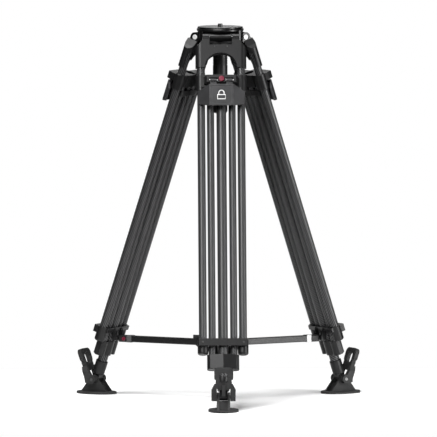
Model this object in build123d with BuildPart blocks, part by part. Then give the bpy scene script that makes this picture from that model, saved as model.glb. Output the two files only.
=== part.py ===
"""Video tripod with its legs collapsed: a bowl crown on three twin-tube carbon legs.

Each leg has two fixed outer tubes, two sliding middle tubes and one sliding centre
tube, all in one plane, with a lever lock at the top, a rubber foot on a toe casting
and one arm of a spreader. Lengths are millimetres. +Z is up and the origin is the
centre of the flat head seat, the top face of the half-ball adapter.
"""

from build123d import *
from math import cos, radians, sin
import os

# ---- driving dimensions -----------------------------------------------------------
LEG_NAMES = ("front", "right", "left")
LEG_STEP = 120.0  # angle between the legs about the vertical axis
LEG_TILT = 19.1  # leg from the vertical, legs spread
SEAT_HEIGHT = 766.0  # head seat above the floor
FOOT_RADIUS = 290.0  # foot pivot from the vertical axis
FOOT_PIVOT_HEIGHT = 30.0
LEG_HINGE_RADIUS = 39.3
LEG_HINGE_DROP = 21.0  # leg hinge below the head seat
RUN = 0.35  # clearance between bodies that slide or turn
FLOOR = -SEAT_HEIGHT

# tubes of one leg, all centred in the leg's own plane
OUTER_TUBE_X = 40.9
OUTER_TUBE_R = 8.0
MID_TUBE_X = 22.1
MID_TUBE_R = 7.4
CENTRE_TUBE_R = 10.0
CENTRE_NECK_R = 9.0  # neck of the centre tube in its runner
TUBE_WALL = 1.4

# heights up the leg from the foot pivot
HINGE_UP = (FOOT_RADIUS - LEG_HINGE_RADIUS) * sin(radians(LEG_TILT)) + (
    SEAT_HEIGHT - LEG_HINGE_DROP - FOOT_PIVOT_HEIGHT
) * cos(radians(LEG_TILT))
HINGE_BACK = (  # hinge axis behind the tube plane
    (FOOT_RADIUS - LEG_HINGE_RADIUS) * cos(radians(LEG_TILT))
    - (SEAT_HEIGHT - LEG_HINGE_DROP - FOOT_PIVOT_HEIGHT) * sin(radians(LEG_TILT))
)
YOKE_LOW = 692.0
YOKE_ARCH_TOP = 723.0
YOKE_TOP = 740.0
ARCH_HALF = 33.0
SOCKET_R = 11.2
OUTER_TUBE_TOP = 732.0
HOUSING_LOW = 642.0
HOUSING_HIGH = 676.0
BRIDGE_LOW = 650.0
MID_TUBE_TOP = 669.0
NOSE_HIGH = 670.0  # top of the housing in front of the tubes
SLEEVE_R = 10.8
LEVER_PIN_UP = 659.5
LEVER_PIN_OUT = 30.0
LEVER_PIN_R = 2.0
LEVER_PIN_IN = 4.6  # inner end of each lever pin
BUTTON_UP = 661.5
BUTTON_R = 5.6
BUTTON_STEM_R = 2.3
BUTTON_SEAT = -32.4  # front of the seat behind the button
BUTTON_TRAVEL = 1.4
BUTTON_GAP = 1.1  # left behind the button when it is pushed in
COVER_LOW = 606.0
COVER_HIGH = 651.0
COVER_OUT = 29.0
PANEL_PROUD = 0.8
RUNNER_LOW = 629.0
RUNNER_HIGH = 640.5
BRACKET_LOW = 88.0
BRACKET_HIGH = 119.0
BRACKET_BAR_LOW = 104.0
BARREL_R = 10.9
ARM_PIVOT_UP = 98.0
ARM_PIVOT_BACK = 20.0
ARM_PIN_R = 2.48
MID_BLOCK_LOW = 56.0
MID_BLOCK_HIGH = 87.0
MID_SOCKET_R = 10.5
TOE_LOW = 12.0
TOE_HIGH = 41.0
TOE_R = 12.3

# crown, half ball and tie-down
RIM_R = 46.5
BALL_R = 37.5  # 75 mm bowl
CROWN_LOW = -27.0
CROWN_HIGH = -3.0
CROWN_RIM_R = 48.0
CROWN_BORE_R = 21.0
STUD_R = 4.76  # 3/8 inch head screw
STUD_LENGTH = 6.0
HANDLE_R = 15.0
HANDLE_TOP = -48.0
HANDLE_LOW = -178.0
ROD_R = 5.0
ROD_GRIP = 38.0  # rod inside the handle

# hinge pins and ears
PIN_R = 4.0
EAR_R = 10.0
EAR_IN = 23.0
EAR_OUT = 37.0
LUG_HALF = EAR_IN - RUN
LUG_R = 9.0

# foot
PAD_LENGTH = 88.0
PAD_WIDTH = 62.0
PAD_THICK = 5.0
CHEEK_IN = 8.6
CHEEK_OUT = 13.3
FOOT_PIN_R = 3.5
STRAP_OUT = 24.5

# spreader
ARM_HALF_WIDTH = 7.0
ARM_HEIGHT = 13.0
HUB_PIVOT_R = 50.0
HUB_LUG_HALF = 2.5
ARM_SLOT_HALF = HUB_LUG_HALF + 0.7
CLIP_FROM_PIVOT = 6.5  # start of the clip, measured from the bracket pivot inwards
CLIP_LENGTH = 17.5
CAP_FROM_PIVOT = 17.5
COLLAR_LENGTH = 11.0
CAP_R = 3.9
ARM_SLOT_LENGTH = 56.0

TILT = Location((0, 0, 0), (-LEG_TILT, 0, 0))
FOOT_POINT = Location((0, -FOOT_RADIUS, FLOOR + FOOT_PIVOT_HEIGHT))
ARM_PIVOT_RADIUS = (
    FOOT_RADIUS - ARM_PIVOT_UP * sin(radians(LEG_TILT)) - ARM_PIVOT_BACK * cos(radians(LEG_TILT))
)
ARM_PIVOT_Z = (
    FLOOR
    + FOOT_PIVOT_HEIGHT
    + ARM_PIVOT_UP * cos(radians(LEG_TILT))
    - ARM_PIVOT_BACK * sin(radians(LEG_TILT))
)
ARM_LENGTH = ARM_PIVOT_RADIUS - HUB_PIVOT_R

os.makedirs("parts", exist_ok=True)


def save(piece, name):
    """Label one finished piece and write it as its own STEP file."""
    piece.label = name
    export_step(piece, f"parts/{name}.step")


def box_between(x0, x1, y0, y1, z0, z1, mode=Mode.ADD):
    """Box between two corners, added to the part that is being built."""
    with BuildSketch(Plane.XY.offset(z0)) as base:
        with Locations(((x0 + x1) / 2, (y0 + y1) / 2)):
            Rectangle(abs(x1 - x0), abs(y1 - y0))
    return extrude(base.sketch, amount=z1 - z0, mode=mode)


def rod_x(y, z, radius, x0, x1, mode=Mode.ADD):
    """Round bar along X from x0 to x1."""
    with BuildSketch(Plane.YZ.offset(x0)) as section:
        with Locations((y, z)):
            Circle(radius)
    return extrude(section.sketch, amount=x1 - x0, mode=mode)


def rod_z(x, y, radius, z0, z1, mode=Mode.ADD):
    """Round bar along Z from z0 to z1."""
    with BuildSketch(Plane.XY.offset(z0)) as section:
        with Locations((x, y)):
            Circle(radius)
    return extrude(section.sketch, amount=z1 - z0, mode=mode)


def both_sides(x):
    """The two mirrored places at plus and minus x."""
    return (-x, x)


# ---- crown ------------------------------------------------------------------------
def leg_frame(turn, x):
    """Plane across the hinge axis of one leg at a distance x from its middle."""
    frame = Plane.XY.rotated((0, 0, turn * LEG_STEP))
    return Plane(
        origin=frame.from_local_coords((x, 0, 0)),
        x_dir=frame.y_dir,
        z_dir=frame.x_dir,
    )


def corner_frame(turn, height):
    """Level plane whose X axis points between two legs."""
    between = Plane.XY.rotated((0, 0, LEG_STEP / 4 * 3 + turn * LEG_STEP))
    return Plane(origin=(0, 0, height), x_dir=between.x_dir, z_dir=(0, 0, 1))


def mirrored_back(points):
    """The same points on the other side of the X axis, in reverse order."""
    return tuple((x, -y) for x, y in reversed(points))


def crown_casting():
    """Bowl with a flared rim, a wide hinge lug for each leg and a boss between the legs."""
    lug_web = 2 * LUG_R - 6
    web_length = 16.0
    boss_outline = ((33, -5), (46.4, -5), (48.5, -8.2), (50.5, -5))
    boss_high = -4.6
    boss_end = 53.0
    cut_r = CROWN_RIM_R + 0.2  # the boss tops fall away outside this radius
    with BuildPart() as crown:
        with BuildSketch(Plane.XZ):
            with BuildLine():
                Polyline(
                    (CROWN_BORE_R, CROWN_LOW),
                    (25, CROWN_LOW),
                    (35.6, -20),
                    (38, -13.5),
                    (42, -10.4),
                    (CROWN_RIM_R - 1, -9),
                    (CROWN_RIM_R, -7.5),
                    (CROWN_RIM_R, -4.5),
                    (CROWN_RIM_R - 1.5, CROWN_HIGH),
                    (0, CROWN_HIGH),
                    (0, CROWN_LOW),
                    (CROWN_BORE_R, CROWN_LOW),
                )
            make_face()
        revolve(axis=Axis.Z)
        for turn in range(3):
            with BuildSketch(leg_frame(turn, -LUG_HALF)):
                with Locations((-LEG_HINGE_RADIUS, -LEG_HINGE_DROP)):
                    Circle(LUG_R)
                with Locations((-LEG_HINGE_RADIUS + web_length / 2, -LEG_HINGE_DROP + 3)):
                    Rectangle(web_length, lug_web)
            extrude(amount=2 * LUG_HALF)
            with BuildSketch(corner_frame(turn, CROWN_LOW)):
                with BuildLine():
                    Polyline(*boss_outline, *mirrored_back(boss_outline), boss_outline[0])
                make_face()
            extrude(amount=boss_high - CROWN_LOW)
        with BuildSketch(Plane.XZ):
            with BuildLine():
                Polyline(
                    (cut_r, boss_high),
                    (boss_end, -9),
                    (boss_end, -4),
                    (cut_r, -4),
                    (cut_r, boss_high),
                )
            make_face()
        revolve(axis=Axis.Z, mode=Mode.SUBTRACT)
        with BuildSketch(Plane.XZ):
            with BuildLine():
                Polyline(
                    (0, CROWN_HIGH + 1),
                    (39.5, CROWN_HIGH + 1),
                    (39.5, -5),
                    (BALL_R, -9),
                    (33, -19),
                    (CROWN_BORE_R, -25),
                    (CROWN_BORE_R, CROWN_LOW - 1),
                    (0, CROWN_LOW - 1),
                    (0, CROWN_HIGH + 1),
                )
            make_face()
        revolve(axis=Axis.Z, mode=Mode.SUBTRACT)
        for turn in range(3):
            with BuildSketch(leg_frame(turn, -LUG_HALF - 1)):
                with Locations((-LEG_HINGE_RADIUS, -LEG_HINGE_DROP)):
                    Circle(PIN_R)
            extrude(amount=2 * LUG_HALF + 2, mode=Mode.SUBTRACT)
    return crown.part


def half_ball():
    """Flat turned disc on a half ball that sits in the bowl."""
    neck_r = 20.4
    low = -26.4
    with BuildPart() as ball:
        with BuildSketch(Plane.XZ):
            with BuildLine():
                Polyline(
                    (ROD_R, 0),
                    (RIM_R - 1, 0),
                    (RIM_R, -1),
                    (RIM_R, -2.6),
                    (39.2, -2.6),
                    (39.2, -5),
                    (BALL_R - 0.3, -8.8),
                    (32.4, -18.5),
                    (neck_r, -24.3),
                    (neck_r, low),
                    (ROD_R, low),
                    (ROD_R, 0),
                )
            make_face()
        revolve(axis=Axis.Z)
    return ball.part


def head_stud():
    """Head screw: a stub above the disc, and the long clamping rod below it."""
    with BuildPart() as stud:
        rod_z(0, 0, STUD_R, 0, STUD_LENGTH)
        rod_z(0, 0, ROD_R, HANDLE_TOP - ROD_GRIP, 0)
        top = stud.faces().sort_by(Axis.Z)[-1]
        chamfer(top.edges(), 0.8)
    return stud.part


def clamp_washer():
    """Cup washer that the handle pulls up against the crown."""
    high = CROWN_LOW - 0.3
    low = HANDLE_TOP + 0.4
    cup_r = 27.0
    with BuildPart() as washer:
        with BuildSketch(Plane.XZ):
            with BuildLine():
                Polyline(
                    (ROD_R, high),
                    (cup_r, high),
                    (cup_r, CROWN_LOW - 4),
                    (18, low),
                    (ROD_R, low),
                    (ROD_R, high),
                )
            make_face()
        revolve(axis=Axis.Z)
    return washer.part


def tie_down_handle():
    """Long round grip with shallow rings near its top and a domed end."""
    ring_depth = 0.9
    ring_width = 1.4
    ring_pitch = 3.4
    first_ring = -62.0
    rings = 6
    with BuildPart() as handle:
        rod_z(0, 0, HANDLE_R, HANDLE_LOW, HANDLE_TOP)
        low = handle.faces().sort_by(Axis.Z)[0]
        fillet(low.edges(), 6)
        high = handle.faces().sort_by(Axis.Z)[-1]
        chamfer(high.edges(), 2)
        for n in range(rings):
            with BuildSketch(Plane.XY.offset(first_ring - ring_pitch * n)):
                Circle(HANDLE_R + 1)
                Circle(HANDLE_R - ring_depth, mode=Mode.SUBTRACT)
            extrude(amount=ring_width, mode=Mode.SUBTRACT)
        rod_z(0, 0, ROD_R + 0.05, HANDLE_TOP - ROD_GRIP - 2, HANDLE_TOP + 1, mode=Mode.SUBTRACT)
    return handle.part


def hinge_pins():
    """Three leg hinge pins, one through each lug of the crown."""
    with BuildPart() as pins:
        for turn in range(3):
            with BuildSketch(leg_frame(turn, -EAR_OUT + 1)):
                with Locations((-LEG_HINGE_RADIUS, -LEG_HINGE_DROP)):
                    Circle(PIN_R - 0.02)
            extrude(amount=2 * EAR_OUT - 2)
    return pins.part


# ---- leg, in its own upright frame: X across, -Y outwards, Z up the leg -----------
def yoke():
    """Arched casting that clamps the outer tubes and hinges on the crown."""
    half = OUTER_TUBE_X + SOCKET_R
    band_back = 7.0
    shoulder = HINGE_UP - 6.5
    depth = 20.0
    slope_in = 46.0  # the top edge slopes between this x and the ears
    shoulder_low = YOKE_TOP - 6
    recess_r = 6.5
    recess_deep = 1.2
    tube_window = 4.5  # the sockets are open behind this plane, where the tubes show
    with BuildPart() as casting:
        with BuildSketch(Plane.XY.offset(YOKE_LOW)):
            with Locations((0, (band_back - SOCKET_R) / 2)):
                Rectangle(2 * OUTER_TUBE_X, band_back + SOCKET_R)
            with Locations((-OUTER_TUBE_X, 0), (OUTER_TUBE_X, 0)):
                Circle(SOCKET_R)
        extrude(amount=shoulder - YOKE_LOW)
        with BuildSketch(Plane.XZ.offset(-depth)):
            with BuildLine():
                Polyline(
                    (-half, YOKE_LOW),
                    (-half, shoulder_low),
                    (-slope_in, YOKE_TOP),
                    (-EAR_OUT, shoulder),
                    (-EAR_IN, shoulder),
                    (-EAR_IN, YOKE_TOP),
                    (EAR_IN, YOKE_TOP),
                    (EAR_IN, shoulder),
                    (EAR_OUT, shoulder),
                    (slope_in, YOKE_TOP),
                    (half, shoulder_low),
                    (half, YOKE_LOW),
                    (-half, YOKE_LOW),
                )
            make_face()
            with Locations((0, YOKE_LOW)):
                Ellipse(ARCH_HALF, YOKE_ARCH_TOP - YOKE_LOW, mode=Mode.SUBTRACT)
        extrude(amount=2 * depth, mode=Mode.INTERSECT)
        for side in (-1, 1):
            with BuildSketch(Plane.YZ.offset(side * EAR_IN)):
                with Locations((HINGE_BACK, HINGE_UP)):
                    Circle(EAR_R)
                with Locations((HINGE_BACK, HINGE_UP - 7)):
                    Rectangle(2 * EAR_R, 12)
            extrude(amount=side * (EAR_OUT - EAR_IN))
            rod_x(
                HINGE_BACK, HINGE_UP, recess_r, side * (EAR_OUT - recess_deep), side * (EAR_OUT + 1),
                mode=Mode.SUBTRACT,
            )
        box_between(-EAR_IN, EAR_IN, -depth, depth, YOKE_TOP, HINGE_UP + 12, mode=Mode.SUBTRACT)
        rod_x(HINGE_BACK, HINGE_UP, PIN_R + 0.03, -EAR_OUT - 1, EAR_OUT + 1, mode=Mode.SUBTRACT)
        for x in both_sides(OUTER_TUBE_X):
            rod_z(x, 0, OUTER_TUBE_R, YOKE_LOW - 1, OUTER_TUBE_TOP, mode=Mode.SUBTRACT)
            box_between(
                x - SOCKET_R - 1, x + SOCKET_R + 1, tube_window, depth, YOKE_LOW - 1, OUTER_TUBE_TOP - 6,
                mode=Mode.SUBTRACT,
            )
    return casting.part


def tube_pair(x, radius, low, high):
    """Two parallel tubes of one leg stage."""
    with BuildPart() as pair:
        for side in both_sides(x):
            with BuildSketch(Plane.XY.offset(low)):
                with Locations((side, 0)):
                    Circle(radius)
                    Circle(radius - TUBE_WALL, mode=Mode.SUBTRACT)
            extrude(amount=high - low)
    return pair.part


def lock_housing():
    """Runner on the outer tubes that carries the lever and the middle tubes."""
    lug_low = LEVER_PIN_UP - 4.5
    cheek_in = 24.5
    nose = -34.0
    slot_back = -24.0
    post_half = 8.2
    bridge_out = 11.0
    bridge_half = 31.0
    with BuildPart() as housing:
        for x in both_sides(OUTER_TUBE_X):
            rod_z(x, 0, SLEEVE_R, HOUSING_LOW, HOUSING_HIGH)
        ends = housing.faces().filter_by(Axis.Z)
        chamfer(ends.edges(), 1.2)
        box_between(-OUTER_TUBE_X, OUTER_TUBE_X, -bridge_out, bridge_out, BRIDGE_LOW, HOUSING_HIGH)
        box_between(-bridge_half, bridge_half, -bridge_out, bridge_out + 1.5, BRIDGE_LOW, HOUSING_HIGH)
        with BuildSketch(Plane.XY.offset(lug_low)):
            with BuildLine():
                Polyline(
                    (-36, -10), (-33, -24), (-29.8, nose), (29.8, nose), (33, -24), (36, -10), (-36, -10)
                )
            make_face()
        extrude(amount=NOSE_HIGH - lug_low)
        box_between(
            -cheek_in, cheek_in, nose - 2, slot_back, lug_low - 1, LEVER_PIN_UP + 4.5,
            mode=Mode.SUBTRACT,
        )
        box_between(-post_half, post_half, BUTTON_SEAT, slot_back + 2, lug_low, NOSE_HIGH)
        for x in both_sides(OUTER_TUBE_X):
            rod_z(x, 0, OUTER_TUBE_R + RUN, HOUSING_LOW - 1, HOUSING_HIGH + 1, mode=Mode.SUBTRACT)
        for x in both_sides(MID_TUBE_X):
            rod_z(x, 0, MID_TUBE_R, HOUSING_LOW - 1, MID_TUBE_TOP, mode=Mode.SUBTRACT)
        rod_z(0, 0, CENTRE_TUBE_R + RUN, HOUSING_LOW - 1, HOUSING_HIGH + 1, mode=Mode.SUBTRACT)
        for side in (-1, 1):
            rod_x(
                -LEVER_PIN_OUT, LEVER_PIN_UP, LEVER_PIN_R + 0.03, side * LEVER_PIN_IN, side * bridge_half,
                mode=Mode.SUBTRACT,
            )
        with BuildSketch(Plane.XZ.offset(-BUTTON_SEAT)):
            with Locations((0, BUTTON_UP)):
                Circle(BUTTON_R + 0.6)
        extrude(amount=5, mode=Mode.SUBTRACT)
        with BuildSketch(Plane.XZ.offset(20)):
            with Locations((0, BUTTON_UP)):
                Circle(BUTTON_STEM_R + RUN)
        extrude(amount=20, mode=Mode.SUBTRACT)
    return housing.part


def lock_lever():
    """Shield-shaped lever cover with bent wings, two knuckles and its steel pins."""
    thick = 3.2
    panel_half = 24.5
    wing_edge = 47.5
    wing_out = 14.5
    trim = 50.0  # the corner cuts end beyond the wings
    front = COVER_OUT + thick
    knuckle_x = 16.2
    knuckle_half = 6.4
    with BuildPart() as lever:
        with BuildSketch(Plane.XY.offset(COVER_LOW)):
            with BuildLine():
                Polyline(
                    (-wing_edge, -wing_out),
                    (-panel_half, -front),
                    (panel_half, -front),
                    (wing_edge, -wing_out),
                    (wing_edge - 2, -12),
                    (panel_half - 1.1, -COVER_OUT),
                    (-panel_half + 1.1, -COVER_OUT),
                    (-wing_edge + 2, -12),
                    (-wing_edge, -wing_out),
                )
            make_face()
        extrude(amount=COVER_HIGH - COVER_LOW)
        with BuildSketch(Plane.XZ):
            with BuildLine():
                Polyline(
                    (-trim, COVER_LOW - 1),
                    (-trim, COVER_LOW + 8.5),
                    (-panel_half, COVER_LOW),
                    (-panel_half, COVER_LOW - 1),
                    (-trim, COVER_LOW - 1),
                )
            make_face()
            with BuildLine():
                Polyline(
                    (-trim, COVER_HIGH + 1),
                    (-trim, COVER_HIGH - 13),
                    (-panel_half, COVER_HIGH),
                    (-panel_half, COVER_HIGH + 1),
                    (-trim, COVER_HIGH + 1),
                )
            make_face()
            mirror(about=Plane.YZ)
        extrude(amount=40, mode=Mode.SUBTRACT)
        with BuildSketch(Plane.XZ.offset(front)):
            with Locations((0, (COVER_LOW + COVER_HIGH) / 2)):
                RectangleRounded(47, 43.5, 3)
        extrude(amount=PANEL_PROUD)
        with BuildSketch(Plane.XZ.offset(front + PANEL_PROUD)):
            with Locations((0, (COVER_LOW + COVER_HIGH) / 2)):
                RectangleRounded(42, 38, 4)
                RectangleRounded(39, 35, 3, mode=Mode.SUBTRACT)
        extrude(amount=-PANEL_PROUD, mode=Mode.SUBTRACT)
        for x in both_sides(knuckle_x):
            box_between(
                x - knuckle_half, x + knuckle_half, -COVER_OUT - 1, -COVER_OUT + 3.4,
                COVER_HIGH - 6, LEVER_PIN_UP - 1,
            )
            rod_x(-LEVER_PIN_OUT, LEVER_PIN_UP, 3.4, x - knuckle_half, x + knuckle_half)
        rod_x(-LEVER_PIN_OUT, LEVER_PIN_UP, LEVER_PIN_R, -26, 26, mode=Mode.SUBTRACT)
    pins = []
    for side in (-1, 1):
        with BuildPart() as pin:
            rod_x(-LEVER_PIN_OUT, LEVER_PIN_UP, LEVER_PIN_R - 0.02, side * LEVER_PIN_IN, side * 28.6)
        pins.append(pin.part)
    return Compound(children=[lever.part, *pins])


def release_button():
    """Round push button in the middle of the lock housing, with its stem."""
    back = -BUTTON_SEAT + BUTTON_TRAVEL + BUTTON_GAP
    with BuildPart() as button:
        with BuildSketch(Plane.XZ.offset(back)):
            with Locations((0, BUTTON_UP)):
                Circle(BUTTON_R)
        extrude(amount=2.5)
        face = button.faces().sort_by(Axis.Y)[0]
        fillet(face.edges(), 1.2)
        with BuildSketch(Plane.XZ.offset(back - 8)):
            with Locations((0, BUTTON_UP)):
                Circle(BUTTON_STEM_R)
        extrude(amount=8.5)
    return button.part


def leg_bracket():
    """Lower clamp on the outer tubes, open in the middle for the sliding tubes."""
    half = 49.0
    rear_bar_low = 110.0
    rear_in = 10.8
    rear_out = 12.9
    front_in = 11.0
    front_out = 16.5
    lug_x = 14.0
    lug_thick = 6.0
    with BuildPart() as bracket:
        for x in both_sides(OUTER_TUBE_X):
            rod_z(x, 0, BARREL_R, BRACKET_LOW, BRACKET_HIGH)
        low = bracket.faces().filter_by(Axis.Z).group_by(Axis.Z)[0]
        fillet(low.edges(), 4)
        box_between(-half, half, -front_out, -front_in, BRACKET_BAR_LOW, BRACKET_HIGH)
        box_between(-half + 4, half - 4, rear_in, rear_out, rear_bar_low, BRACKET_HIGH)
        for x in both_sides(OUTER_TUBE_X + 1):
            box_between(x - 7, x + 7, -13, -4, BRACKET_BAR_LOW, BRACKET_HIGH)
            box_between(x - 5, x + 3, 4, rear_out, rear_bar_low, BRACKET_HIGH)
        for x in both_sides(lug_x):
            with BuildSketch(Plane.YZ.offset(x - lug_thick / 2)):
                with BuildLine():
                    Polyline(
                        (rear_in, BRACKET_HIGH - 1),
                        (rear_in, ARM_PIVOT_UP + 8),
                        (rear_out, ARM_PIVOT_UP + 2),
                        (ARM_PIVOT_BACK - 5, ARM_PIVOT_UP - 4),
                        (ARM_PIVOT_BACK, ARM_PIVOT_UP - 6),
                        (ARM_PIVOT_BACK + 6, ARM_PIVOT_UP),
                        (ARM_PIVOT_BACK + 4, ARM_PIVOT_UP + 5),
                        (rear_out, BRACKET_HIGH - 1),
                        (rear_in, BRACKET_HIGH - 1),
                    )
                make_face()
            extrude(amount=lug_thick)
        rod_x(ARM_PIVOT_BACK, ARM_PIVOT_UP, ARM_PIN_R + 0.02, -18, 18, mode=Mode.SUBTRACT)
        for x in both_sides(OUTER_TUBE_X):
            rod_z(x, 0, OUTER_TUBE_R, BRACKET_LOW + 3, BRACKET_HIGH + 1, mode=Mode.SUBTRACT)
    with BuildPart() as pin:
        rod_x(ARM_PIVOT_BACK, ARM_PIVOT_UP, ARM_PIN_R, -17, 17)
    return Compound(children=[bracket.part, pin.part])


def mid_block():
    """Clamp at the foot of the middle tubes: faceted in front, round sockets behind."""
    half = MID_TUBE_X + MID_SOCKET_R
    back = 3.0
    facet_x = 27.0
    facet_y = 11.5
    nose = 17.0
    with BuildPart() as block:
        with BuildSketch(Plane.XY.offset(MID_BLOCK_LOW)):
            with BuildLine():
                Polyline(
                    (-half, back),
                    (-half, -6),
                    (-facet_x, -facet_y),
                    (0, -nose),
                    (facet_x, -facet_y),
                    (half, -6),
                    (half, back),
                    (-half, back),
                )
            make_face()
            with Locations((-MID_TUBE_X, 0), (MID_TUBE_X, 0)):
                Circle(MID_SOCKET_R)
            Circle(CENTRE_TUBE_R + 3.2)
        extrude(amount=MID_BLOCK_HIGH - MID_BLOCK_LOW)
        front_edges = block.edges().filter_by(Plane.XY).filter_by(GeomType.LINE)
        chamfer(front_edges.filter_by_position(Axis.Y, -20, -7), 1.2)
        for x in both_sides(MID_TUBE_X):
            rod_z(x, 0, MID_TUBE_R, MID_BLOCK_LOW + 4, MID_BLOCK_HIGH + 1, mode=Mode.SUBTRACT)
        rod_z(0, 0, CENTRE_TUBE_R + RUN, MID_BLOCK_LOW - 1, MID_BLOCK_HIGH + 1, mode=Mode.SUBTRACT)
    return block.part


def centre_runner():
    """Block on the top of the centre tube that runs on the middle tubes."""
    half = MID_TUBE_X + MID_TUBE_R + 1
    with BuildPart() as runner:
        box_between(-half, half, -9.6, 9.6, RUNNER_LOW, RUNNER_HIGH)
        vertical = runner.edges().filter_by(Axis.Z)
        fillet(vertical, 4)
        rod_z(0, 0, CENTRE_TUBE_R, RUNNER_LOW, RUNNER_HIGH)
        for x in both_sides(MID_TUBE_X):
            rod_z(x, 0, MID_TUBE_R + RUN, RUNNER_LOW - 1, RUNNER_HIGH + 1, mode=Mode.SUBTRACT)
        rod_z(0, 0, CENTRE_NECK_R, RUNNER_LOW - 1, RUNNER_HIGH + 1, mode=Mode.SUBTRACT)
    return runner.part


def centre_tube():
    """Single thick tube of the lowest stage, with a plugged neck in the runner."""
    neck_top = RUNNER_LOW + 40
    plug = 3.0
    with BuildPart() as tube:
        with BuildSketch(Plane.XY.offset(TOE_LOW + 6)):
            Circle(CENTRE_TUBE_R)
            Circle(CENTRE_TUBE_R - TUBE_WALL, mode=Mode.SUBTRACT)
        extrude(amount=RUNNER_LOW - TOE_LOW - 6)
        with BuildSketch(Plane.XY.offset(RUNNER_LOW)):
            Circle(CENTRE_NECK_R)
            Circle(CENTRE_NECK_R - TUBE_WALL, mode=Mode.SUBTRACT)
        extrude(amount=neck_top - RUNNER_LOW)
        rod_z(0, 0, CENTRE_NECK_R, neck_top, neck_top + plug)
    return tube.part


def toe_casting():
    """Socket for the centre tube above a tongue with an eye on the foot pin."""
    tongue = CHEEK_IN - RUN
    eye_r = 7.5
    with BuildPart() as toe:
        rod_z(0, 0, TOE_R, TOE_LOW, TOE_HIGH)
        rims = toe.faces().filter_by(Axis.Z)
        chamfer(rims.edges(), 1.2)
        box_between(-tongue, tongue, -eye_r, eye_r, 0, TOE_LOW + 4)
        rod_x(0, 0, eye_r, -tongue, tongue)
        rod_x(0, 0, FOOT_PIN_R + 0.05, -20, 20, mode=Mode.SUBTRACT)
        rod_z(0, 0, CENTRE_TUBE_R, TOE_LOW + 6, TOE_HIGH + 1, mode=Mode.SUBTRACT)
    return toe.part


# ---- foot, upright at the foot pivot: -Y outwards ---------------------------------
def foot_pad():
    """Oval rubber pad with two triangular cheeks and a block between them."""
    base = -FOOT_PIVOT_HEIGHT
    foot_half = 32.0
    with BuildPart() as pad:
        with BuildSketch(Plane.XY.offset(base)):
            Ellipse(PAD_WIDTH / 2, PAD_LENGTH / 2)
        extrude(amount=PAD_THICK)
        edge = pad.faces().sort_by(Axis.Z)[-1]
        fillet(edge.edges(), 1.8)
        for side in (-1, 1):
            with BuildSketch(Plane.YZ.offset(side * CHEEK_IN)):
                with BuildLine():
                    Polyline(
                        (-foot_half, base + 2), (foot_half, base + 2), (9, 2), (-9, 2), (-foot_half, base + 2)
                    )
                make_face()
                Circle(9.2)
            extrude(amount=side * (CHEEK_OUT - CHEEK_IN))
        with BuildSketch(Plane.YZ.offset(-CHEEK_IN)):
            with BuildLine():
                Polyline((-22, base + 2), (22, base + 2), (14, -9), (-14, -9), (-22, base + 2))
            make_face()
        extrude(amount=2 * CHEEK_IN)
        rod_x(0, 0, FOOT_PIN_R, -30, 30, mode=Mode.SUBTRACT)
    return pad.part


def foot_pin():
    """Pin through the cheeks, the toe and the strap."""
    with BuildPart() as pin:
        rod_x(0, 0, FOOT_PIN_R - 0.02, -STRAP_OUT + 0.8, STRAP_OUT - 0.8)
    return pin.part


def foot_strap():
    """Rubber pull loop hung on the ends of the foot pin, with a tab in its middle."""
    lean = 20.0
    root = -10.0
    half_thick = 4.2
    arm_in = CHEEK_OUT + 0.6
    waist = 16.3
    loop_half = 19.5
    loop_top = 65.0
    flare = 27.0
    cut_depth = 40.0
    with BuildPart() as strap:
        loop_plane = Plane(
            origin=(0, root, 0), x_dir=(1, 0, 0), z_dir=(0, -cos(radians(lean)), -sin(radians(lean)))
        )
        with BuildSketch(loop_plane.offset(-half_thick)) as loop:
            with BuildLine():
                Polyline(
                    (-waist, 18),
                    (-waist, 32),
                    (-loop_half, 44),
                    (-loop_half, loop_top),
                    (loop_half, loop_top),
                    (loop_half, 44),
                    (waist, 32),
                    (waist, 18),
                    (-waist, 18),
                )
            make_face()
            fillet(loop.vertices().group_by(Axis.Z)[-1], 9)
            with Locations((0, 44.5)):
                RectangleRounded(18, 23, 7, mode=Mode.SUBTRACT)
        extrude(amount=2 * half_thick)
        for side in (-1, 1):
            with BuildSketch(Plane.YZ.offset(side * arm_in)):
                with BuildLine():
                    Polyline(
                        (8, 1),
                        (6, -6),
                        (-4, -8.6),
                        (-14, -7),
                        (-15.5, 2),
                        (-23.5, 25),
                        (-14, 28),
                        (-2, 9),
                        (8, 1),
                    )
                make_face()
                Circle(9)
            extrude(amount=side * (STRAP_OUT - arm_in))
        with BuildSketch(Plane.XZ.offset(-cut_depth)):
            with BuildLine():
                Polyline((flare, 11), (waist, 33), (waist, 37), (flare, 37), (flare, 11))
            make_face()
            mirror(about=Plane.YZ)
        extrude(amount=2 * cut_depth, mode=Mode.SUBTRACT)
        box_between(-3.5, 3.5, -27, -19, 4, 27)
        rod_x(0, 0, FOOT_PIN_R + RUN, -30, 30, mode=Mode.SUBTRACT)
    return strap.part


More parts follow.
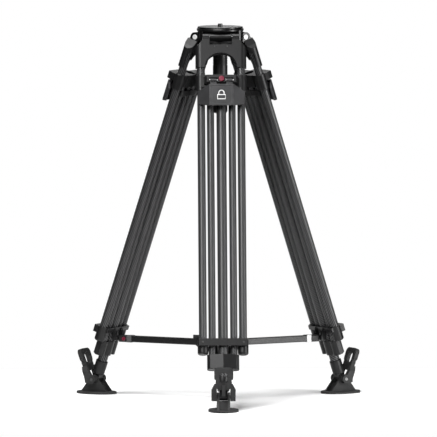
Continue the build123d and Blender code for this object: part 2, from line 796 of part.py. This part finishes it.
# ---- spreader, upright at the arm's bracket pivot: the arm runs towards +Y --------
def spreader_arm():
    """Bar slotted over the hub's lug, with its collar and the rod to the bracket."""
    start = CLIP_FROM_PIVOT + CLIP_LENGTH
    tip = ARM_LENGTH + 8.0
    half = ARM_HEIGHT / 2
    with BuildPart() as bar:
        box_between(-ARM_HALF_WIDTH, ARM_HALF_WIDTH, start, tip, -half, half)
        long_edges = bar.edges().filter_by(Axis.Y)
        fillet(long_edges, 1.6)
        slot = ARM_LENGTH - ARM_SLOT_LENGTH
        box_between(-ARM_SLOT_HALF, ARM_SLOT_HALF, slot, tip + 1, -half - 1, half + 1, mode=Mode.SUBTRACT)
    with BuildPart() as collar:
        box_between(-8, 8, start, start + COLLAR_LENGTH, -half - 0.7, half + 0.7)
        box_between(-ARM_HALF_WIDTH, ARM_HALF_WIDTH, start - 1, start + 20, -half, half, mode=Mode.SUBTRACT)
    with BuildPart() as rod:
        box_between(-4, 4, 0, start, -4, 4)
        rod_x(0, 0, 6, -10.6, 10.6)
        rod_x(0, 0, ARM_PIN_R + 0.07, -12, 12, mode=Mode.SUBTRACT)
    return Compound(children=[bar.part, collar.part, rod.part])


def spreader_clip():
    """Dark clip around the rod, with a pocket for its release button."""
    y0 = CLIP_FROM_PIVOT
    y1 = CLIP_FROM_PIVOT + CLIP_LENGTH
    half = ARM_HEIGHT / 2 + 0.4
    with BuildPart() as clip:
        box_between(-9, 9, y0, y1, -half, half)
        fillet(clip.edges().filter_by(Axis.Y), 2)
        box_between(-4, 4, y0 - 1, y1 + 1, -4, 4, mode=Mode.SUBTRACT)
        rod_x(CAP_FROM_PIVOT, 0, CAP_R + RUN, 4.4, 10, mode=Mode.SUBTRACT)
    return clip.part


def spreader_button():
    """Red push cap in one side of the clip."""
    with BuildPart() as cap:
        rod_x(CAP_FROM_PIVOT, 0, CAP_R, 6.6, 10.2)
        face = cap.faces().sort_by(Axis.X)[-1]
        fillet(face.edges(), 0.8)
    return cap.part


def spreader_hub():
    """Low disc with three upright lugs that the slotted arms straddle."""
    disc_r = 33.0
    disc_low = ARM_PIVOT_Z - 17
    disc_thick = 8.0
    root = -26.0
    lug_end = -HUB_PIVOT_R - 12
    lug_high = ARM_PIVOT_Z + 14
    with BuildPart() as hub:
        rod_z(0, 0, disc_r, disc_low, disc_low + disc_thick)
        chamfer(hub.edges(), 1)
        for turn in range(3):
            with BuildSketch(leg_frame(turn, -HUB_LUG_HALF)):
                with BuildLine():
                    Polyline(
                        (root, disc_low),
                        (-44, disc_low + 1),
                        (-HUB_PIVOT_R - 6, ARM_PIVOT_Z - 7),
                        (lug_end, ARM_PIVOT_Z + 6),
                        (lug_end, lug_high),
                        (-HUB_PIVOT_R + 3, lug_high),
                        (-HUB_PIVOT_R + 6, ARM_PIVOT_Z - 6),
                        (root, disc_low + disc_thick),
                        (root, disc_low),
                    )
                make_face()
            extrude(amount=2 * HUB_LUG_HALF)
    return hub.part


# ---- build and place ---------------------------------------------------------------
save(crown_casting(), "crown_casting")
save(half_ball(), "half_ball_adapter")
save(head_stud(), "head_stud")
save(clamp_washer(), "clamp_washer")
save(tie_down_handle(), "tie_down_handle")
save(hinge_pins(), "leg_hinge_pins")
save(spreader_hub(), "spreader_hub")

leg_pieces = {
    "yoke": yoke(),
    "outer_tubes": tube_pair(OUTER_TUBE_X, OUTER_TUBE_R, BRACKET_LOW + 3, OUTER_TUBE_TOP),
    "bracket": leg_bracket(),
    "lock_housing": lock_housing(),
    "lock_lever": lock_lever(),
    "release_button": release_button(),
    "mid_tubes": tube_pair(MID_TUBE_X, MID_TUBE_R, MID_BLOCK_LOW + 4, MID_TUBE_TOP),
    "mid_block": mid_block(),
    "centre_runner": centre_runner(),
    "centre_tube": centre_tube(),
    "toe": toe_casting(),
}
foot_pieces = {
    "foot_pad": foot_pad(),
    "foot_pin": foot_pin(),
    "foot_strap": foot_strap(),
}
arm_pieces = {
    "spreader_arm": spreader_arm(),
    "spreader_clip": spreader_clip(),
    "spreader_button": spreader_button(),
}
arm_point = Location((0, -ARM_PIVOT_RADIUS, ARM_PIVOT_Z))

for index, leg_name in enumerate(LEG_NAMES):
    spin = Location((0, 0, 0), (0, 0, index * LEG_STEP))
    for piece_name, piece in leg_pieces.items():
        save(piece.moved(spin * FOOT_POINT * TILT), f"{leg_name}_{piece_name}")
    for piece_name, piece in foot_pieces.items():
        save(piece.moved(spin * FOOT_POINT), f"{leg_name}_{piece_name}")
    for piece_name, piece in arm_pieces.items():
        save(piece.moved(spin * arm_point), f"{leg_name}_{piece_name}")
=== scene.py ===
"""Looks of the video tripod: materials, small fittings, light and camera around the CAD frame.

Lengths are metres in the row frame: the origin is the centre of the head seat, +Z up,
and the front leg stands towards -Y.
"""

import bmesh
import bpy
import math
from mathutils import Matrix, Vector


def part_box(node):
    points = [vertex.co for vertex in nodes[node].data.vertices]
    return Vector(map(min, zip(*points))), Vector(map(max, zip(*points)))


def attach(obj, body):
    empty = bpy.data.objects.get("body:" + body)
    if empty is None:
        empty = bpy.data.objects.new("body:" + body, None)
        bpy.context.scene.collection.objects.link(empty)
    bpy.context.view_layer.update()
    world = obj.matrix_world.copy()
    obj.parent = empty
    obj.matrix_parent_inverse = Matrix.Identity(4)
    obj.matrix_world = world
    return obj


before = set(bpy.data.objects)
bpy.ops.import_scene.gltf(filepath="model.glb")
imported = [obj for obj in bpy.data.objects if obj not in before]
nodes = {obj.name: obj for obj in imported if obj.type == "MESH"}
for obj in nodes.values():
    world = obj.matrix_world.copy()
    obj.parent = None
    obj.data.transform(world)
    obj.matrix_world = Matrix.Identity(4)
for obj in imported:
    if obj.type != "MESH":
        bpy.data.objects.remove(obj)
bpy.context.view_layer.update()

MM = 0.001
LEG_NAMES = ("front", "right", "left")
LEG_STEP = math.radians(120)
LEG_TILT = math.radians(19.1)
SEAT_HEIGHT = 766 * MM
FOOT_RADIUS = 290 * MM
FOOT_PIVOT_Z = 30 * MM - SEAT_HEIGHT
EAR_HALF = 37.1 * MM  # outer end of the yoke's ears, with a hair to spare
EAR_LOW = 744 * MM
LEVER_PIN = (-30.0 * MM, 659.5 * MM)  # out of the tube plane, up the leg
LEVER_PIN_R = 2.0 * MM
ARM_AXIS_Z = -650 * MM
ARM_HALF_HEIGHT = 6.5 * MM
COLLAR_NEAR = -215.5 * MM
COLLAR_FAR = -203.5 * MM
HUB_DISC = 8 * MM
TUBE_X = {"outer_tubes": 40.9 * MM, "mid_tubes": 22.1 * MM, "centre_tube": 0.0}
TUBE_R = {"outer_tubes": 8.0 * MM, "mid_tubes": 7.4 * MM, "centre_tube": 10.0 * MM}


# ---- frames of the legs -------------------------------------------------------------
def spin(index):
    """Turn from the front leg to another leg."""
    return Matrix.Rotation(index * LEG_STEP, 4, "Z")


def leg_matrix(index):
    """Leg frame: X across, -Y outwards, Z up the leg, origin at the foot pivot."""
    pivot = Matrix.Translation((0, -FOOT_RADIUS, FOOT_PIVOT_Z))
    return spin(index) @ pivot @ Matrix.Rotation(-LEG_TILT, 4, "X")


# ---- shader helpers -----------------------------------------------------------------
class Shader:
    """One material and short calls that add nodes to it."""

    def __init__(self, name):
        self.material = bpy.data.materials.new(name)
        self.material.use_nodes = True
        self.tree = self.material.node_tree
        self.bsdf = self.tree.nodes["Principled BSDF"]

    def node(self, kind, inputs=None, **settings):
        made = self.tree.nodes.new("ShaderNode" + kind)
        for key, value in settings.items():
            setattr(made, key, value)
        for key, value in (inputs or {}).items():
            self.feed(made.inputs[key], value)
        return made

    def feed(self, socket, value):
        if isinstance(value, bpy.types.NodeSocket):
            self.tree.links.new(value, socket)
        else:
            socket.default_value = value

    def math(self, operation, a, b=0.0, c=0.0):
        made = self.node("Math", {0: a, 1: b, 2: c}, operation=operation)
        return made.outputs[0]

    def position(self, matrix=None):
        """Object coordinates, which are the row frame, taken back through a matrix."""
        place = self.node("TexCoord").outputs["Object"]
        if matrix is None:
            return place
        back = matrix.inverted()
        turned = self.node(
            "Mapping",
            {"Vector": place, "Location": back.to_translation(), "Rotation": back.to_euler()},
            vector_type="POINT",
        )
        return turned.outputs["Vector"]

    def noise(self, scale, detail=3.0, rough=0.55, vector=None):
        made = self.node("TexNoise", {"Scale": scale, "Detail": detail, "Roughness": rough})
        self.feed(made.inputs["Vector"], vector or self.position())
        return made.outputs["Fac"]

    def ramp(self, factor, low, high, low_value, high_value):
        made = self.node(
            "MapRange",
            {"Value": factor, "From Min": low, "From Max": high, "To Min": low_value, "To Max": high_value},
        )
        return made.outputs["Result"]

    def mix(self, factor, a, b):
        made = self.node("Mix", data_type="RGBA")
        self.feed(made.inputs["Factor"], factor)
        self.feed(made.inputs[6], a)
        self.feed(made.inputs[7], b)
        return made.outputs[2]

    def edge_mask(self, radius):
        """Near 1 on edges within the radius, 0 on flat faces."""
        rounded = self.node("Bevel", {"Radius": radius}, samples=4)
        plain = self.node("NewGeometry").outputs["Normal"]
        dot = self.node("VectorMath", {0: rounded.outputs[0], 1: plain}, operation="DOT_PRODUCT")
        return self.ramp(dot.outputs["Value"], 0.995, 0.9, 0.0, 1.0)

    def bump(self, height, strength, distance, radius=0.0):
        made = self.node("Bump", {"Height": height, "Strength": strength, "Distance": distance})
        if radius:
            rounded = self.node("Bevel", {"Radius": radius}, samples=4)
            self.feed(made.inputs["Normal"], rounded.outputs[0])
        self.feed(self.bsdf.inputs["Normal"], made.outputs[0])

    def surface(self, **values):
        for key, value in values.items():
            self.feed(self.bsdf.inputs[key.replace("_", " ")], value)
        return self.material


def grey(value, tint=0.0):
    """Neutral colour, with a little more or less blue."""
    return (value, value, value * (1 + tint), 1)


BLACK_SPECULAR = 0.28  # paints and plastics that shine less than plain gloss


# ---- materials ------------------------------------------------------------------------
def cast_paint(name, shade, edge_shade, rough):
    """Fine-grained black powder coat with slightly polished edges."""
    s = Shader(name)
    grain = s.noise(2600, 2.0)
    clouds = s.noise(45, 4.0)
    edges = s.edge_mask(0.9 * MM)
    worn = s.math("MULTIPLY", edges, s.ramp(clouds, 0.35, 0.7, 0.25, 1.0))
    body = s.mix(s.ramp(clouds, 0.3, 0.7, 0.0, 1.0), grey(shade * 0.85, 0.03), grey(shade * 1.15, 0.05))
    s.bump(grain, 0.25, 0.12 * MM, 0.5 * MM)
    return s.surface(
        Base_Color=s.mix(worn, body, grey(edge_shade, 0.04)),
        Roughness=s.ramp(grain, 0.3, 0.7, rough - 0.07, rough + 0.08),
        Specular_IOR_Level=BLACK_SPECULAR,
    )


def moulded(name, shade, rough, scale=900, depth=0.1):
    """Spark-textured moulded plastic or rubber."""
    s = Shader(name)
    grain = s.noise(scale, 3.0)
    dust = s.noise(60, 5.0)
    colour = s.mix(s.ramp(dust, 0.4, 0.75, 0.0, 1.0), grey(shade), grey(shade * 1.6, 0.02))
    s.bump(grain, 0.35, depth * MM, 0.6 * MM)
    return s.surface(
        Base_Color=colour,
        Roughness=s.ramp(dust, 0.3, 0.7, rough - 0.06, rough + 0.06),
        Specular_IOR_Level=BLACK_SPECULAR,
    )


def turned_metal(name, shade, rough, pitch):
    """Lathe-turned metal with concentric tool marks about the Z axis."""
    s = Shader(name)
    x, y, z = s.node("SeparateXYZ", {0: s.position()}).outputs
    radius = s.math("SQRT", s.math("ADD", s.math("MULTIPLY", x, x), s.math("MULTIPLY", y, y)))
    rings = s.math("SINE", s.math("MULTIPLY", radius, 2 * math.pi / pitch))
    uneven = s.noise(700, 2.0)
    height = s.math("ADD", rings, s.math("MULTIPLY", uneven, 0.8))
    s.bump(height, 0.2, 0.05 * MM, 0.5 * MM)
    tone = s.mix(s.ramp(s.noise(25, 3.0), 0.3, 0.7, 0.0, 1.0), grey(shade * 0.85), grey(shade * 1.15))
    return s.surface(
        Base_Color=tone, Metallic=1.0, Roughness=s.ramp(rings, -1.0, 1.0, rough - 0.05, rough + 0.08)
    )


def brushed_steel(name, shade=0.62, rough=0.28):
    """Ground steel pin or screw."""
    s = Shader(name)
    streaks = s.noise(1800, 2.0)
    s.bump(streaks, 0.12, 0.05 * MM, 0.3 * MM)
    tone = s.mix(streaks, grey(shade * 0.8), grey(shade * 1.1))
    dull = s.ramp(streaks, 0.3, 0.7, rough - 0.08, rough + 0.08)
    return s.surface(Base_Color=tone, Metallic=1.0, Roughness=dull)


def zinc_plate(name):
    """Dull bright plating on the heads of the hinge pins."""
    s = Shader(name)
    clouds = s.noise(500, 3.0)
    s.bump(s.noise(2400, 2.0), 0.15, 0.04 * MM, 0.3 * MM)
    tone = s.mix(clouds, grey(0.62), grey(0.80))
    return s.surface(Base_Color=tone, Metallic=0.25, Roughness=s.ramp(clouds, 0.3, 0.7, 0.4, 0.5))


def red_cap(name):
    """Glossy red moulded button."""
    s = Shader(name)
    clouds = s.noise(300, 3.0)
    s.bump(s.noise(2200, 2.0), 0.15, 0.05 * MM, 0.4 * MM)
    tone = s.mix(clouds, (0.11, 0.002, 0.016, 1), (0.17, 0.005, 0.026, 1))
    return s.surface(Base_Color=tone, Roughness=s.ramp(clouds, 0.3, 0.7, 0.25, 0.42))


def carbon(name, matrix, tube_x, tube_r, tow=1.5 * MM):
    """Two-by-two twill carbon weave wrapped round tubes that run along the leg."""
    s = Shader(name)
    x, y, z = s.node("SeparateXYZ", {0: s.position(matrix)}).outputs
    across = s.math("SUBTRACT", s.math("ABSOLUTE", x), tube_x) if tube_x else x
    around = s.math("MULTIPLY", s.math("ARCTAN2", across, s.math("MULTIPLY", y, -1.0)), tube_r)
    column = s.math("DIVIDE", around, tow)
    row = s.math("DIVIDE", z, tow)
    step = s.math("ADD", s.math("FLOOR", column), s.math("FLOOR", row))
    warp = s.math("LESS_THAN", s.math("FLOORED_MODULO", step, 4.0), 1.5)
    in_column = s.math("SUBTRACT", s.math("FRACT", column), 0.5)
    in_row = s.math("SUBTRACT", s.math("FRACT", row), 0.5)
    crown_warp = s.math("MULTIPLY", in_column, in_column)
    crown_weft = s.math("MULTIPLY", in_row, in_row)
    crown = s.node("Mix", {0: warp, 2: crown_weft, 3: crown_warp}, data_type="FLOAT").outputs[0]
    thread_turns = 44.0  # radians of thread ripple across one tow, seven threads
    threads_warp = s.math("SINE", s.math("MULTIPLY", column, thread_turns))
    threads_weft = s.math("SINE", s.math("MULTIPLY", row, thread_turns))
    threads = s.node("Mix", {0: warp, 2: threads_weft, 3: threads_warp}, data_type="FLOAT").outputs[0]
    height = s.math("ADD", s.math("MULTIPLY", crown, -2.0), s.math("MULTIPLY", threads, 0.06))
    s.bump(height, 0.7, 0.2 * MM)
    tow_tone = s.mix(warp, grey(0.002, 0.05), grey(0.075, 0.03))
    colour = s.mix(s.ramp(threads, -1.0, 1.0, 0.0, 0.25), tow_tone, grey(0.010))
    s.surface(Base_Color=colour, Metallic=0.2, Roughness=s.ramp(warp, 0.0, 1.0, 0.44, 0.34))
    return s.surface(Coat_Weight=0.12, Coat_Roughness=0.2, Specular_IOR_Level=0.3)


def floor_material():
    """Matt white background paper."""
    s = Shader("floor_paper")
    fibres = s.noise(180, 4.0)
    s.bump(fibres, 0.05, 0.1 * MM)
    paper = s.mix(fibres, grey(0.93), grey(0.96))
    return s.surface(Base_Color=paper, Roughness=s.ramp(fibres, 0.3, 0.7, 0.85, 0.95))


BLACK = cast_paint("black_casting", 0.007, 0.03, 0.40)
# Darker, glossier copy of the casting paint: painted shade that deepens the crown and the yoke's hinge ears
# against the lit parts beside them.
CROWN_BLACK_PAINTED_SHADE = cast_paint("crown_paint_painted_shade", 0.003, 0.02, 0.30)
# Lighter copy of the casting paint: painted light that makes the levers' faces read brighter than the
# yoke's.
LEVER_BLACK_PAINTED_LIGHT = cast_paint("lever_casting_painted_light", 0.030, 0.10, 0.34)
# Darker copy of the casting paint: painted shade that deepens the spreader arms' tone.
ARM_BLACK_PAINTED_SHADE = cast_paint("arm_paint_painted_shade", 0.005, 0.02, 0.34)
PLASTIC = moulded("black_plastic", 0.009, 0.48)
GRIP = moulded("grip_plastic", 0.006, 0.42, 1400, 0.06)
RUBBER = moulded("foot_rubber", 0.014, 0.58, 700, 0.12)
STEEL = brushed_steel("steel")
DARK_STEEL = brushed_steel("dark_steel", 0.10, 0.34)
LIGHT_METAL = brushed_steel("light_metal", 0.80, 0.34)
COLLAR_METAL = brushed_steel("collar_metal", 0.22, 0.38)
PIN_HEAD = zinc_plate("zinc_plate")
DISC = turned_metal("turned_metal", 0.035, 0.36, 0.9 * MM)
RED = red_cap("red_plastic")


# ---- CAD nodes get their materials -------------------------------------------------------
def dress(node_name, *materials):
    """Replace a CAD node's material slots and smooth its round faces."""
    piece = nodes[node_name]
    piece.data.materials.clear()
    for material in materials:
        piece.data.materials.append(material)
    piece.data.shade_smooth()
    split = piece.modifiers.new("crisp edges", "EDGE_SPLIT")
    split.split_angle = math.radians(28)
    return piece


def tint_faces(piece, slot, inside):
    """Give the second material to faces whose corners all satisfy a test."""
    mesh = piece.data
    for face in mesh.polygons:
        if all(inside(mesh.vertices[v].co) for v in face.vertices):
            face.material_index = slot


# The crown takes the darker paint copy, painted shade.
dress("crown_casting", CROWN_BLACK_PAINTED_SHADE)
dress("half_ball_adapter", DISC)
dress("head_stud", DARK_STEEL)
dress("clamp_washer", BLACK)
dress("tie_down_handle", GRIP)
dress("leg_hinge_pins", STEEL)
dress("spreader_hub", PLASTIC)

NODE_LOOKS = {
    "bracket": BLACK,
    "lock_housing": BLACK,
    "mid_block": BLACK,
    "centre_runner": PLASTIC,
    "toe": BLACK,
    "release_button": RED,
    "foot_pad": RUBBER,
    "foot_pin": DARK_STEEL,
    "foot_strap": RUBBER,
    "spreader_clip": PLASTIC,
    "spreader_button": RED,
}


def dress_yoke(leg, leg_name):
    """Casting paint, with the darker crown paint on the ears of the hinge as painted shade."""
    yoke = dress(f"{leg_name}_yoke", BLACK, CROWN_BLACK_PAINTED_SHADE)
    to_leg = leg_matrix(leg).inverted()

    def on_ear_painted_shade(point):
        local = to_leg @ point
        return abs(local.x) < EAR_HALF and local.z > EAR_LOW

    tint_faces(yoke, 1, on_ear_painted_shade)


def dress_lever(leg, leg_name):
    """Lever paint, a lighter copy of the casting paint as painted light, with bare steel on the hinge pins.
    """
    lever = dress(f"{leg_name}_lock_lever", LEVER_BLACK_PAINTED_LIGHT, STEEL)
    to_leg = leg_matrix(leg).inverted()

    def on_pin(point):
        local = to_leg @ point
        off_axis = math.hypot(local.y - LEVER_PIN[0], local.z - LEVER_PIN[1])
        return off_axis < LEVER_PIN_R + 0.01 * MM

    tint_faces(lever, 1, on_pin)


def dress_arm(leg, leg_name):
    """Arm paint, a darker copy of the casting paint as painted shade, with bare metal on the collar."""
    arm = dress(f"{leg_name}_spreader_arm", ARM_BLACK_PAINTED_SHADE, COLLAR_METAL)
    to_front = spin(leg).inverted()

    def on_collar(point):
        y = (to_front @ point).y
        z = (to_front @ point).z
        near_end = COLLAR_NEAR < y < COLLAR_NEAR + 0.4 * MM
        outside_bar = abs(z - ARM_AXIS_Z) > ARM_HALF_HEIGHT + 0.05 * MM
        return near_end or (COLLAR_NEAR < y < COLLAR_FAR and outside_bar)

    tint_faces(arm, 1, on_collar)


for leg, leg_name in enumerate(LEG_NAMES):
    for look, material in NODE_LOOKS.items():
        dress(f"{leg_name}_{look}", material)
    dress_yoke(leg, leg_name)
    for tubes, tube_x in TUBE_X.items():
        weave = carbon(f"{leg_name}_{tubes}_carbon", leg_matrix(leg), tube_x, TUBE_R[tubes])
        dress(f"{leg_name}_{tubes}", weave)
    dress_lever(leg, leg_name)
    dress_arm(leg, leg_name)


# ---- small fittings -------------------------------------------------------------------------
def new_piece(name, matrix, body, material, build):
    """Mesh piece made by build(bmesh) in a local frame, placed and riding on a body."""
    mesh = bpy.data.meshes.new(name)
    shape = bmesh.new()
    build(shape)
    bmesh.ops.recalc_face_normals(shape, faces=shape.faces)
    shape.to_mesh(mesh)
    shape.free()
    mesh.transform(matrix)
    mesh.shade_smooth()
    piece = bpy.data.objects.new(name, mesh)
    bpy.context.scene.collection.objects.link(piece)
    mesh.materials.append(material)
    split = piece.modifiers.new("crisp edges", "EDGE_SPLIT")
    split.split_angle = math.radians(35)
    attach(piece, body)
    return piece


def ring_of(shape, radius, z, count):
    """Ring of vertices about Z."""
    turns = [2 * math.pi * n / count for n in range(count)]
    return [shape.verts.new((radius * math.cos(a), radius * math.sin(a), z)) for a in turns]


def cap_screw(radius, height):
    """Socket-head screw: a chamfered head with a hexagonal recess."""

    def build(shape):
        outer = 24
        socket = radius * 0.5
        profile = ((radius, 0), (radius, height * 0.75), (radius * 0.86, height))
        rings = [ring_of(shape, r, z, outer) for r, z in profile]
        mouth = [
            shape.verts.new((socket * math.cos(a) / hex_edge(a), socket * math.sin(a) / hex_edge(a), height))
            for a in (2 * math.pi * n / outer for n in range(outer))
        ]
        floor_ring = [shape.verts.new((v.co.x, v.co.y, height * 0.3)) for v in mouth]
        rings += [mouth, floor_ring]
        for low, high in zip(rings, rings[1:]):
            for n in range(outer):
                shape.faces.new((low[n], low[(n + 1) % outer], high[(n + 1) % outer], high[n]))
        shape.faces.new(list(reversed(rings[0])))
        shape.faces.new(rings[-1])

    return build


def hex_edge(angle):
    """Distance factor that turns a circle into a hexagon of the same inner radius."""
    return math.cos((angle + math.pi / 6) % (math.pi / 3) - math.pi / 6)


def facing(x, y, z, direction):
    """Local frame at a point whose Z axis looks along a direction."""
    turn = Vector(direction).to_track_quat("Z", "Y").to_matrix().to_4x4()
    return Matrix.Translation((x * MM, y * MM, z * MM)) @ turn


def bar_loop(points, width, depth):
    """Flat strip of a given width along an open line in XZ, standing out towards -Y."""

    def build(shape):
        count = len(points)
        rows = []
        for n, (x, z) in enumerate(points):
            before = Vector(points[max(n - 1, 0)])
            after = Vector(points[min(n + 1, count - 1)])
            along = (after - before).normalized()
            side = Vector((-along.y, along.x)) * width / 2
            rows.append(
                [
                    shape.verts.new(((x + sx * side.x) * MM, y * MM, (z + sx * side.y) * MM))
                    for sx, y in ((-1, 0), (1, 0), (1, -depth), (-1, -depth))
                ]
            )
        for low, high in zip(rows, rows[1:]):
            for n in range(4):
                shape.faces.new((low[n], low[(n + 1) % 4], high[(n + 1) % 4], high[n]))
        shape.faces.new(list(reversed(rows[0])))
        shape.faces.new(rows[-1])

    return build


def padlock_lines():
    """Plain padlock sign: a shackle and a body outline."""
    bow, rise, foot, steps = 5.4, 4.0, 1.0, 12
    half, deep = 8.0, 9.0
    turns = [math.pi * n / steps for n in range(steps + 1)]
    arc = [(bow * math.cos(a), rise + bow * math.sin(a)) for a in turns]
    shackle = [(bow, foot)] + arc + [(-bow, foot)]
    body = [(-half, 0), (half, 0), (half, -deep), (-half, -deep), (-half, foot)]
    return shackle, body


def add_boss_screws(leg, leg_name):
    """Column of three small screws on the crown's boss beside each leg."""
    boss_face = 50.3
    boss_azimuth = -150
    heights = (-10.0, -15.5, -21.0)
    boss = spin(leg) @ Matrix.Rotation(math.radians(boss_azimuth), 4, "Z")
    for row, height in enumerate(heights):
        place = boss @ facing(boss_face, 0, height, (1, 0, 0))
        head = cap_screw(1.5 * MM, 0.7 * MM)
        new_piece(f"{leg_name}_boss_screw_{row}", place, "crown", DARK_STEEL, head)


def add_pin_head(leg, leg_name, side, side_name):
    """Bright round head on one end of a leg hinge pin."""
    pin_end, hinge_radius, hinge_drop = 35.9, 39.3, 21.0
    place = spin(leg) @ facing(side * pin_end, -hinge_radius, -hinge_drop, (side, 0, 0))
    head = cap_screw(5.2 * MM, 1.0 * MM)
    new_piece(f"{leg_name}_hinge_pin_head_{side_name}", place, "crown", PIN_HEAD, head)


def add_hub_screw(leg, leg_name):
    """One of the three screws on top of the spreader hub's disc."""
    disc_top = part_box("spreader_hub")[0][2] + HUB_DISC
    screw_circle, sunk = 20.0, 0.2
    level = Matrix.Translation((0, 0, disc_top))
    place = level @ spin(leg) @ facing(0, screw_circle, -sunk, (0, 0, 1))
    new_piece(f"{leg_name}_hub_screw", place, "hub", STEEL, cap_screw(2.5 * MM, 1.2 * MM))


def add_lever_sign(leg, leg_name):
    """Padlock sign on the raised panel of the lever."""
    panel_front = -33.0 * MM
    middle = 628 * MM
    line_width = 1.5
    place = leg_matrix(leg) @ Matrix.Translation((0, panel_front, middle))
    shackle, outline = padlock_lines()
    for part, line in (("shackle", shackle), ("body", outline)):
        bars = bar_loop(line, line_width, 0.3)
        new_piece(f"{leg_name}_lever_sign_{part}", place, f"{leg_name}_lever", LIGHT_METAL, bars)


def add_leg_screws(leg, leg_name, side, side_name):
    """Screws of the yoke, the lower bracket and the centre runner on one side of a leg."""
    front = (0, -1, 0)
    kinds = (
        # name, body, (x, y, z) in the leg frame, direction, material, radius, height
        ("yoke", "leg", (side * 13.0, -11.2, 736.5), front, DARK_STEEL, 1.2, 0.8),
        ("bracket", "leg", (side * 41.5, -16.5, 111.5), front, DARK_STEEL, 1.9, 0.8),
        ("runner", "lower_stage", (side * 30.5, 0, 635), (side, 0, 0), STEEL, 2.2, 0.9),
    )
    for kind, body, point, direction, material, radius, height in kinds:
        place = leg_matrix(leg) @ facing(*point, direction)
        head = cap_screw(radius * MM, height * MM)
        new_piece(
            f"{leg_name}_{kind}_screw_{side_name}", place, f"{leg_name}_{body}", material, head
        )


SIDES = ((-1, "a"), (1, "b"))
for leg, leg_name in enumerate(LEG_NAMES):
    add_boss_screws(leg, leg_name)
    add_hub_screw(leg, leg_name)
    for side, side_name in SIDES:
        add_pin_head(leg, leg_name, side, side_name)
    add_lever_sign(leg, leg_name)
    for side, side_name in SIDES:
        add_leg_screws(leg, leg_name, side, side_name)


# ---- floor, light and camera ----------------------------------------------------------------
def add_floor():
    """Square of white paper just larger than the tripod's stance."""
    mesh = bpy.data.meshes.new("floor")
    half = 0.7
    corners = [(x * half, y * half, -SEAT_HEIGHT) for x, y in ((-1, -1), (1, -1), (1, 1), (-1, 1))]
    mesh.from_pydata(corners, [], [(0, 1, 2, 3)])
    mesh.materials.append(floor_material())
    ground = bpy.data.objects.new("floor", mesh)
    bpy.context.scene.collection.objects.link(ground)


def add_area(name, place, target, size, power):
    """Rectangular lamp at a place, looking at a target."""
    light = bpy.data.lights.new(name, "AREA")
    light.shape = "RECTANGLE"
    light.size, light.size_y = size
    light.energy = power
    lamp = bpy.data.objects.new(name, light)
    lamp.location = place
    lamp.rotation_euler = (Vector(target) - Vector(place)).to_track_quat("-Z", "Y").to_euler()
    bpy.context.scene.collection.objects.link(lamp)


def add_world():
    """White backdrop for the camera that gives the object only a little light."""
    world = bpy.data.worlds.new("studio")
    world.use_nodes = True
    tree = world.node_tree
    sky = tree.nodes["Background"]
    seen = tree.nodes.new("ShaderNodeLightPath").outputs["Is Camera Ray"]
    level = tree.nodes.new("ShaderNodeMapRange")
    level.inputs["To Min"].default_value = 0.02
    level.inputs["To Max"].default_value = 1.0
    tree.links.new(seen, level.inputs["Value"])
    tree.links.new(level.outputs["Result"], sky.inputs["Strength"])
    sky.inputs["Color"].default_value = (1, 1, 1, 1)
    bpy.context.scene.world = world


def add_camera():
    """Long lens from the front, slightly above and a touch to the left."""
    elevation, yaw, distance = math.radians(4.4), math.radians(1.3), 35.0
    view_width = 0.8955
    target = Vector((-0.0035, 0.0, -0.3944))
    away = Vector(
        (-math.sin(yaw) * math.cos(elevation), -math.cos(yaw) * math.cos(elevation), math.sin(elevation))
    )
    camera = bpy.data.cameras.new("camera")
    camera.sensor_width = 36.0
    camera.lens = 36.0 * distance / view_width
    camera.clip_end = 100.0
    holder = bpy.data.objects.new("camera", camera)
    holder.location = target + away * distance
    holder.rotation_euler = (-away).to_track_quat("-Z", "Y").to_euler()
    bpy.context.scene.collection.objects.link(holder)
    bpy.context.scene.camera = holder


def add_softbox(name, azimuth, elevation, distance, size, power):
    """Area light on a sphere about the middle of the tripod, looking at it."""
    middle = Vector((0, 0, -SEAT_HEIGHT / 2))
    side, up = math.radians(azimuth), math.radians(elevation)
    out = Vector((math.cos(side) * math.cos(up), math.sin(side) * math.cos(up), math.sin(up)))
    add_area(name, middle + out * distance, middle, size, power)


def add_overhead():
    """Even light from above that whitens the floor, with very soft shadows."""
    light = bpy.data.lights.new("overhead", "SUN")
    light.energy = 3.3
    light.angle = math.radians(30)
    lamp = bpy.data.objects.new("overhead", light)
    lamp.rotation_euler = (math.radians(12), math.radians(-8), 0)
    bpy.context.scene.collection.objects.link(lamp)


add_floor()
add_world()
add_overhead()
add_softbox("key_left", -112, 34, 2.4, (0.6, 0.8), 48)
add_softbox("side_right", -28, 3, 2.2, (0.5, 1.4), 45)
add_softbox("rim_back", 89, 24, 2.6, (1.8, 0.7), 7)
add_camera()
bpy.context.scene.view_settings.view_transform = "Standard"
